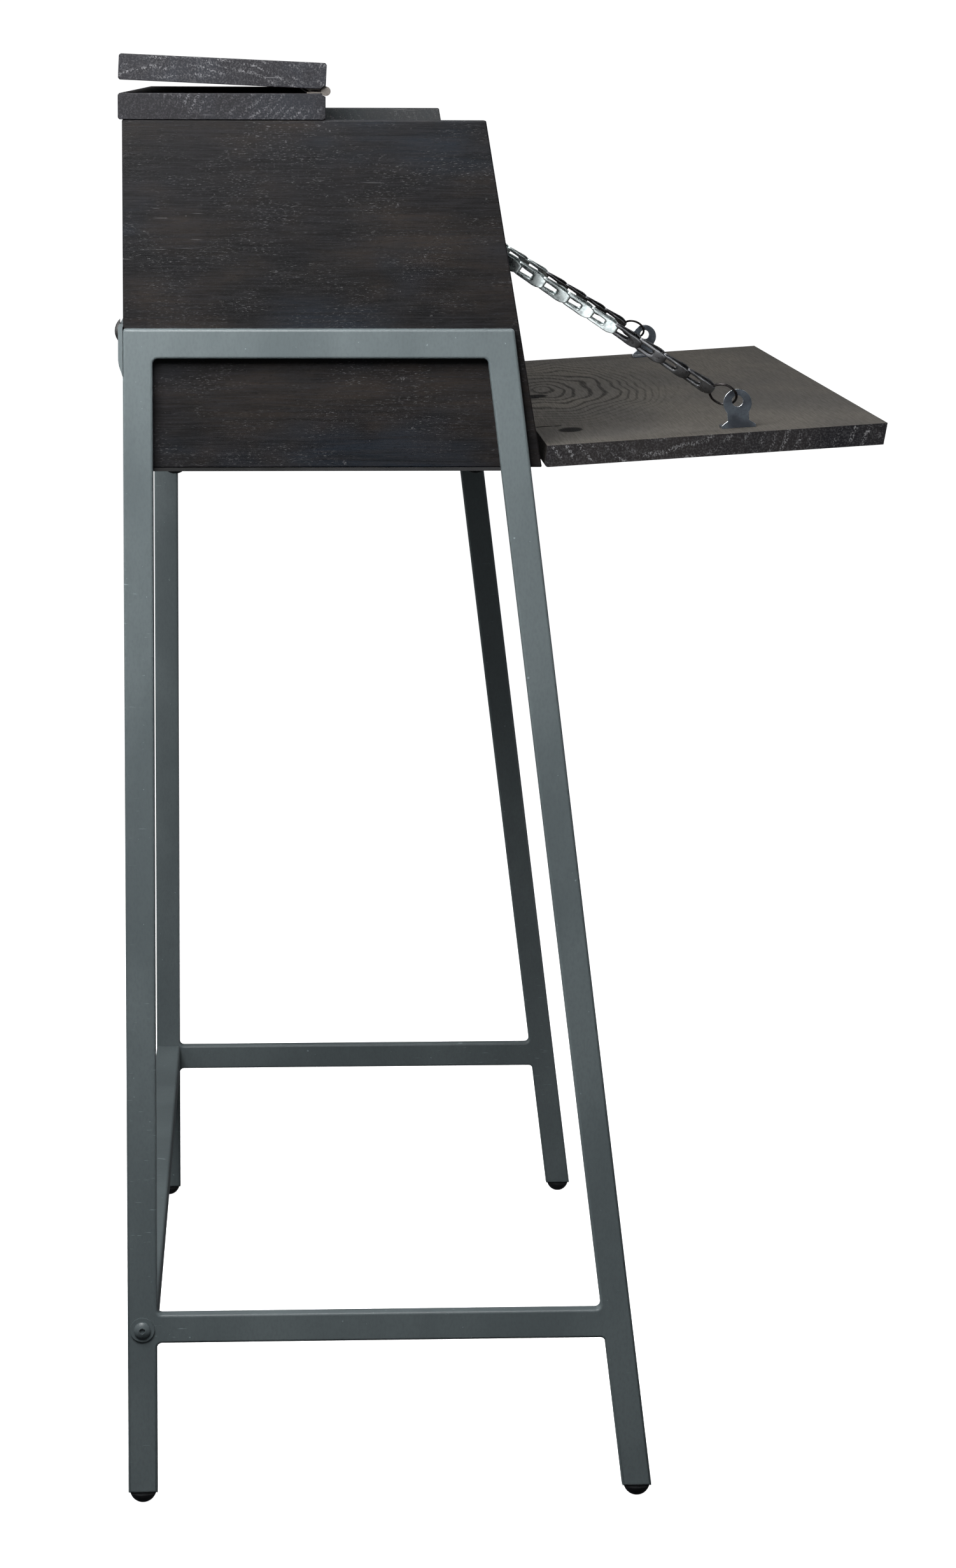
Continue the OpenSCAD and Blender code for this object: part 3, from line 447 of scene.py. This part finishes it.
def welded_frame(side):
    """The legs, top bar and stretcher of one side as one welded, painted frame."""
    rl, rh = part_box(f"{side}_rear_leg")
    fl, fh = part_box(f"{side}_front_leg")
    tl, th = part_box(f"{side}_top_bar")
    sl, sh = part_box(f"{side}_stretcher")
    slope = (tl.y - fl.y) / (tl.z - fl.z)

    def outer(z):
        return Vector((tl.y + (z - tl.z) * slope, z))

    def inner(z):
        return Vector((fh.y + (z - fh.z) * slope, z))

    outline = [Vector((rh.y, rl.z)), Vector((rh.y, th.z)), outer(th.z), outer(fl.z), inner(fl.z),
               inner(sl.z), Vector((rl.y, sl.z)), Vector((rl.y, rl.z))]
    window = [Vector((rl.y, sh.z)), inner(sh.z), inner(tl.z), Vector((rl.y, tl.z))]
    outer_r, weld_r, edge_r = 0.0028, 0.0045, 0.0022
    curve = bpy.data.curves.new(f"{side}_outline", "CURVE")
    curve.dimensions = "2D"
    curve.fill_mode = "BOTH"
    for pts in (rounded(outline, [0, outer_r, outer_r, 0, 0, weld_r, weld_r, 0]),
                rounded(window, [weld_r] * 4)):
        sp = curve.splines.new("POLY")
        sp.points.add(len(pts) - 1)
        for q, v in zip(sp.points, pts):
            q.co = (v.x, v.y, 0, 1)
        sp.use_cyclic_u = True
    curve.extrude = (rh.x - rl.x) / 2 - edge_r
    curve.bevel_depth = edge_r
    curve.bevel_resolution = 3
    curve.offset = -edge_r
    tmp = bpy.data.objects.new("tmp", curve)
    scene.collection.objects.link(tmp)
    bpy.context.view_layer.update()
    mesh = bpy.data.meshes.new_from_object(tmp.evaluated_get(bpy.context.evaluated_depsgraph_get()))
    bpy.data.objects.remove(tmp)
    mesh.name = f"{side}_side_frame"
    # the curve's X, Y and Z are the desk's Y, Z and X
    mesh.transform(Matrix(((0, 0, 1, (rl.x + rh.x) / 2), (1, 0, 0, 0), (0, 1, 0, 0), (0, 0, 0, 1))))
    mesh.materials.clear()
    mesh.shade_smooth()
    mesh.set_sharp_from_angle(angle=math.radians(40))
    piece(f"{side}_side_frame", mesh, "root", [M["frame_paint"]],
          [f"{side}_{n}" for n in ("rear_leg", "front_leg", "top_bar", "stretcher")])


for side in SIDES:
    welded_frame(side)


# ---------------------------------------------------------------- stamped chain
PITCH = 0.0247
LINK_WIDTH = 0.0130
STRIP = 0.0013
# Half a link as (distance along it, half the gap between its layers, share of its width), from its upper
# end down to the fold
LAYER = ((PITCH + 0.0018, 0.0008, 0.80), (PITCH + 0.0006, 0.0008, 0.95), (PITCH * 0.86, 0.0009, 1.0),
         (PITCH * 0.66, 0.0013, 1.0), (PITCH * 0.50, 0.0018, 0.98), (PITCH * 0.42, 0.0020, 1.0),
         (PITCH * 0.30, 0.0021, 1.02), (PITCH * 0.16, 0.0021, 1.0), (PITCH * 0.06, 0.0020, 0.86))
FOLD_STEPS = 6
FOLD_REACH, FOLD_HALF = 0.0024, 0.0020
COLUMNS = (-0.5, -0.40, -0.2, 0.2, 0.40, 0.5)
SLOT_COLUMN, SLOT_START, SLOT_END = 2, PITCH * 0.45, PITCH


def folded_link(lean):
    """One stamped link: a strip folded round its lower end, with a slot through both layers near its
    upper end. X runs along the link, Y across it and Z through its thickness."""
    path = [(t, -h, w) for t, h, w in LAYER]
    for i in range(1, FOLD_STEPS):
        a = math.pi * i / FOLD_STEPS
        path.append((-math.sin(a) * FOLD_REACH, -math.cos(a) * FOLD_HALF, 0.86 - 0.36 * math.sin(a)))
    path += [(t, h, w) for t, h, w in reversed(LAYER)]
    bm = bmesh.new()
    rows = [[bm.verts.new((t, c * LINK_WIDTH * w, h)) for c in COLUMNS] for t, h, w in path]
    for i, (row, after) in enumerate(zip(rows, rows[1:])):
        middle = (path[i][0] + path[i + 1][0]) / 2
        for j in range(len(COLUMNS) - 1):
            if j == SLOT_COLUMN and SLOT_START < middle < SLOT_END:
                continue
            bm.faces.new((row[j], row[j + 1], after[j + 1], after[j]))
    loose = [v for v in bm.verts if not v.link_faces]
    bmesh.ops.delete(bm, geom=loose, context="VERTS")
    bmesh.ops.recalc_face_normals(bm, faces=bm.faces)
    spin = Matrix.Rotation(lean, 3, "X")
    for v in bm.verts:
        v.co = spin @ v.co
    return bm


def chain_mesh(name, starts, along, leans):
    """Links set one after another, each at its own start point and lean."""
    mesh = bpy.data.meshes.new(name)
    all_bm = bmesh.new()
    up = Vector((0, -along.z, along.y))
    basis = Matrix((along, up, along.cross(up))).transposed().to_4x4()
    for start, lean in zip(starts, leans):
        bm = folded_link(lean)
        bm.transform(Matrix.Translation(start) @ basis)
        tmp = bpy.data.meshes.new("link")
        bm.to_mesh(tmp)
        bm.free()
        all_bm.from_mesh(tmp)
        bpy.data.meshes.remove(tmp)
    for f in all_bm.faces:
        f.smooth = True
    all_bm.to_mesh(mesh)
    all_bm.free()
    return mesh


def hook_pin(side, at):
    """The headed pin that hangs in the case hook's notch, turned round an axis along X."""
    lo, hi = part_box(f"{side}_chain_upper")
    x0, x1 = (lo.x, at.x + 0.004) if side == "left" else (at.x - 0.004, hi.x)
    head_r, chamfer_r, shank_r, tail_r = 0.0026, 0.0024, 0.0015, 0.0020
    chamfer, head = 0.0008, 0.0014
    length = abs(x1 - x0)
    profile = ((0.0, chamfer_r), (chamfer, head_r), (head, shank_r), (length - head, shank_r),
               (length - chamfer, chamfer_r), (length, tail_r))
    sides = 20
    turns = [(math.cos(a * math.tau / sides), math.sin(a * math.tau / sides)) for a in range(sides)]
    bm = bmesh.new()
    rings = [[bm.verts.new((x0 + dx, at.y + r * c, at.z + r * s)) for c, s in turns] for dx, r in profile]
    for ra, rb in zip(rings, rings[1:]):
        for a in range(sides):
            b = (a + 1) % sides
            bm.faces.new((ra[a], ra[b], rb[b], rb[a]))
    bm.faces.new(rings[0])
    bm.faces.new(list(reversed(rings[-1])))
    bmesh.ops.recalc_face_normals(bm, faces=bm.faces)
    mesh = bpy.data.meshes.new(f"{side}_hook_pin")
    bm.to_mesh(mesh)
    bm.free()
    piece(f"{side}_hook_pin", mesh, f"{side}_upper_chain", [M["ring_steel"]], ())


# Each run's first link, the link after its last, its lean in degrees and its material: the lower run takes
# the chain steel with painted shade, the runs above take the copy with a painted reflection
RUNS = {"lower": (0, 4, -38, "chain_dark"), "middle": (4, 5, -26, "chain_bright"),
        "upper": (5, 11, -26, "chain_bright")}
for side in SIDES:
    random.seed(7)
    middle, upper = (Vector(joints[f"{side}_{run}_chain_pivot"]["pos_m"]) for run in ("middle", "upper"))
    along = (upper - middle).normalized()
    first = middle - along * PITCH * RUNS["middle"][0]
    for run, (i0, i1, lean, steel) in RUNS.items():
        starts = [first + along * PITCH * i for i in range(i0, i1)]
        leans = [math.radians(lean + random.uniform(-5, 5)) for _ in starts]
        mesh = chain_mesh(f"{side}_{run}_links", starts, along, leans)
        body, node = f"{side}_{run}_chain", f"{side}_chain_{run}"
        o = piece(f"{side}_{run}_links", mesh, body, [M[steel]], (node,))
        thick = o.modifiers.new("thick", "SOLIDIFY")
        thick.thickness = STRIP
        thick.offset = 0.0
        smooth = o.modifiers.new("round", "SUBSURF")
        smooth.levels = smooth.render_levels = 1
    hook_pin(side, first + along * PITCH * RUNS["upper"][1])


# ---------------------------------------------------------------- floor, light, camera
def stage_material():
    """White that glows, so that the floor and backdrop stay white whatever the lights do."""
    g = Graph("studio_floor")
    n = g.noise(g.coords((1.5, 1.5, 1.5)), detail=2.0)
    color = g.mix(g.step(n, 0.3, 0.7), (0.86, 0.86, 0.86), (0.90, 0.90, 0.90))
    g.bsdf.inputs["Emission Color"].default_value = (1, 1, 1, 1)
    g.bsdf.inputs["Emission Strength"].default_value = 1.0
    return g.finish(color, 0.9, specular=0.1)


bm = bmesh.new()
bmesh.ops.create_grid(bm, x_segments=8, y_segments=8, size=30)
mesh = bpy.data.meshes.new("floor")
bm.to_mesh(mesh)
bm.free()
floor = bpy.data.objects.new("floor", mesh)
mesh.materials.append(stage_material())
scene.collection.objects.link(floor)
wall = bpy.data.objects.new("backdrop", mesh.copy())
wall.rotation_euler = (0, math.pi / 2, 0)
wall.location = (9, 0, 0)
scene.collection.objects.link(wall)
for o in (floor, wall):
    o.visible_diffuse = False
    o.visible_glossy = False

# a dim world, darker below than above
world = bpy.data.worlds.new("studio")
scene.world = world
world.use_nodes = True
wt = world.node_tree
background = wt.nodes["Background"]
way = wt.nodes.new("ShaderNodeTexCoord")
split = wt.nodes.new("ShaderNodeSeparateXYZ")
wt.links.new(way.outputs["Generated"], split.inputs[0])
ramp = wt.nodes.new("ShaderNodeValToRGB")
ramp.color_ramp.elements[0].position = 0.0
ramp.color_ramp.elements[0].color = (0.012, 0.013, 0.014, 1)
ramp.color_ramp.elements[1].position = 0.55
ramp.color_ramp.elements[1].color = (0.075, 0.079, 0.083, 1)
lift = wt.nodes.new("ShaderNodeMath")
lift.operation = "MULTIPLY_ADD"
wt.links.new(split.outputs["Z"], lift.inputs[0])
lift.inputs[1].default_value = 0.5
lift.inputs[2].default_value = 0.5
wt.links.new(lift.outputs[0], ramp.inputs[0])
wt.links.new(ramp.outputs[0], background.inputs["Color"])
background.inputs["Strength"].default_value = 1.0


def area(name, at, to, size, power):
    """A square light at one point that faces another, hidden from the camera."""
    light = bpy.data.lights.new(name, "AREA")
    light.size = size
    light.energy = power
    o = bpy.data.objects.new(name, light)
    o.location = at
    o.rotation_euler = (Vector(to) - Vector(at)).to_track_quat("-Z", "Y").to_euler()
    o.visible_camera = False
    scene.collection.objects.link(o)
    return o


area("key", (-1.45, 0.6, 1.9), (-0.4, 0.1, 1.1), 1.0, 52)
area("rear_fill", (0.2, 2.4, 1.7), (0, 0.3, 0.9), 1.4, 30)
right_fill = area("right_fill", (1.9, 1.2, 2.2), (0.4, 0.1, 0.8), 1.0, 12)
area("front_fill", (0.3, -2.1, 1.9), (0.1, -0.1, 1.1), 1.2, 6)
area("top", (0.35, -0.2, 2.9), (0.2, -0.1, 1.0), 1.4, 25)
area("low_fill", (-2.6, -0.6, 0.9), (-0.4, 0, 0.6), 1.4, 1)
area("under_fill", (-0.1, -0.55, 0.12), (0.5, 0.0, 0.12), 0.4, 0.7)

# a white card above the floor that only the chains, hook pins, rings and tabs mirror
card = area("card", (-0.7, 0.5, 0.3), (-0.7, 0.5, 1.0), 1.6, 24)
mirrored = bpy.data.collections.new("mirrored")
for o in list(scene.collection.objects):
    if any(word in o.name for word in ("_links", "_ring", "_hook_pin", "_leaf_tab")):
        mirrored.objects.link(o)
card.light_linking.receiver_collection = mirrored

# the crossbar and the tabs stay out of the light from the far side, which they would mirror
shaded = bpy.data.collections.new("shaded")
shaded.objects.link(nodes["rear_lower_crossbar"])
for side in SIDES:
    shaded.objects.link(bpy.data.objects[f"{side}_leaf_tab_eased"])
for entry in shaded.collection_objects:
    entry.light_linking.link_state = "EXCLUDE"
right_fill.light_linking.receiver_collection = shaded

# the camera stands off the left side, a little towards the back, and looks along +X and slightly down
cam_data = bpy.data.cameras.new("camera")
cam_data.sensor_fit = "AUTO"
cam_data.sensor_width = 36
cam_data.lens = 92.664
cam_data.shift_y = -0.2
cam_data.clip_start, cam_data.clip_end = 0.05, 200
cam = bpy.data.objects.new("camera", cam_data)
scene.collection.objects.link(cam)
yaw, pitch, roll = -0.0530, -0.10056, 0.00367
look = Vector((math.cos(pitch) * math.cos(yaw), math.cos(pitch) * math.sin(yaw), math.sin(pitch)))
level = look.cross(Vector((0, 0, 1))).normalized()
upright = level.cross(look)
right = level * math.cos(roll) + upright * math.sin(roll)
above = upright * math.cos(roll) - level * math.sin(roll)
turn = Matrix((right, above, -look)).transposed().to_4x4()
cam.matrix_world = Matrix.Translation((-3.89817, 0.20246, 1.24629)) @ turn
scene.camera = cam
